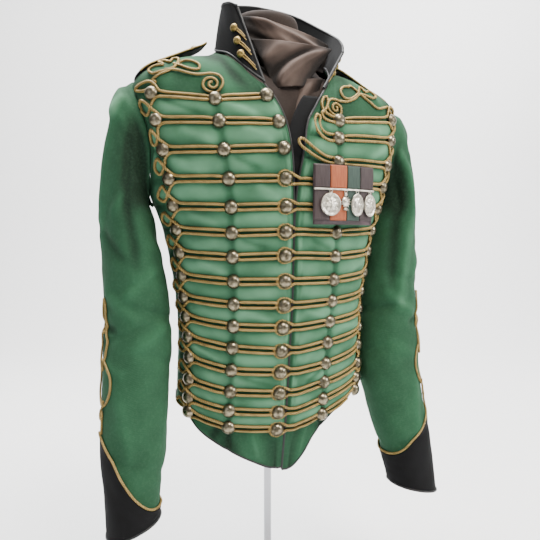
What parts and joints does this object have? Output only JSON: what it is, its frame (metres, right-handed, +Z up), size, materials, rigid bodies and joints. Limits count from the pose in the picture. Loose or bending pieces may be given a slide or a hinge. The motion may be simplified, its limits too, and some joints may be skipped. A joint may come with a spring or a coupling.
{
  "type": "hussar jacket on a dress form",
  "caption": "Fitted cavalry jacket with cord frogging, standing collar and pointed cuffs, on a limbless dress form with a rod and round base.",
  "frame": {"origin": "centre of the base's flat underside", "axes": "+Z up along the rod, the jacket's front faces -Y, the wearer's right is -X"},
  "size_m": [0.5156, 0.3, 0.9692],
  "materials": {
    "green_wool": "matt wool twill",
    "black_wool": "matt wool",
    "gold_cord": "twisted metallic cord with antique domed buttons",
    "ribbon": "ribbed silk ribbon on a plain backing",
    "silver": "aged silver",
    "brown_cover": "soft jersey cover",
    "chrome": "polished"
  },
  "bodies": {
    "jacket": {"front_right": "green_wool", "front_left": "green_wool", "back": "green_wool", "collar": "black_wool", "sleeve_right": "green_wool", "cuff_right": "black_wool", "sleeve_knot_right": "gold_cord", "shoulder_strap_right": "black_wool", "chest_knot_right": "gold_cord", "frog_right_01": "gold_cord", "frog_right_02": "gold_cord", "frog_right_03": "gold_cord", "frog_right_04": "gold_cord", "frog_right_05": "gold_cord", "frog_right_06": "gold_cord", "frog_right_07": "gold_cord", "frog_right_08": "gold_cord", "frog_right_09": "gold_cord", "frog_right_10": "gold_cord", "frog_right_11": "gold_cord", "frog_right_12": "gold_cord", "frog_right_13": "gold_cord", "frog_right_14": "gold_cord", "frog_right_15": "gold_cord", "collar_dome_right_1": "gold_cord", "collar_dome_right_2": "gold_cord", "collar_dome_right_3": "gold_cord", "sleeve_left": "green_wool", "cuff_left": "black_wool", "sleeve_knot_left": "gold_cord", "shoulder_strap_left": "black_wool", "chest_knot_left": "gold_cord", "frog_left_01": "gold_cord", "frog_left_02": "gold_cord", "frog_left_03": "gold_cord", "frog_left_04": "gold_cord", "frog_left_05": "gold_cord", "frog_left_06": "gold_cord", "frog_left_07": "gold_cord", "frog_left_08": "gold_cord", "frog_left_09": "gold_cord", "frog_left_10": "gold_cord", "frog_left_11": "gold_cord", "frog_left_12": "gold_cord", "frog_left_13": "gold_cord", "frog_left_14": "gold_cord", "frog_left_15": "gold_cord", "collar_dome_left_1": "gold_cord", "collar_dome_left_2": "gold_cord", "collar_dome_left_3": "gold_cord", "medal_bar": "ribbon", "dress_form": "brown_cover", "rod": "chrome", "base": "chrome"},
    "medal_1": {"medal_1": "silver"},
    "medal_2": {"medal_2": "silver"},
    "medal_3": {"medal_3": "silver"},
    "medal_4": {"medal_4": "silver"}
  },
  "joints": [
    {"name": "medal_1_swing", "type": "hinge", "parent": "jacket", "child": "medal_1", "pos_m": [0.05071, -0.13215, 0.654], "axis": [-0.9919, -0.1272, 0], "range_deg": [0, 60]},
    {"name": "medal_2_swing", "type": "hinge", "parent": "jacket", "child": "medal_2", "pos_m": [0.07533, -0.12794, 0.654], "axis": [-0.9774, -0.2115, 0], "range_deg": [0, 60]},
    {"name": "medal_3_swing", "type": "hinge", "parent": "jacket", "child": "medal_3", "pos_m": [0.09592, -0.12258, 0.654], "axis": [-0.9561, -0.293, 0], "range_deg": [0, 60]},
    {"name": "medal_4_swing", "type": "hinge", "parent": "jacket", "child": "medal_4", "pos_m": [0.12042, -0.11346, 0.654], "axis": [-0.914, -0.4056, 0], "range_deg": [0, 60]}
  ]
}
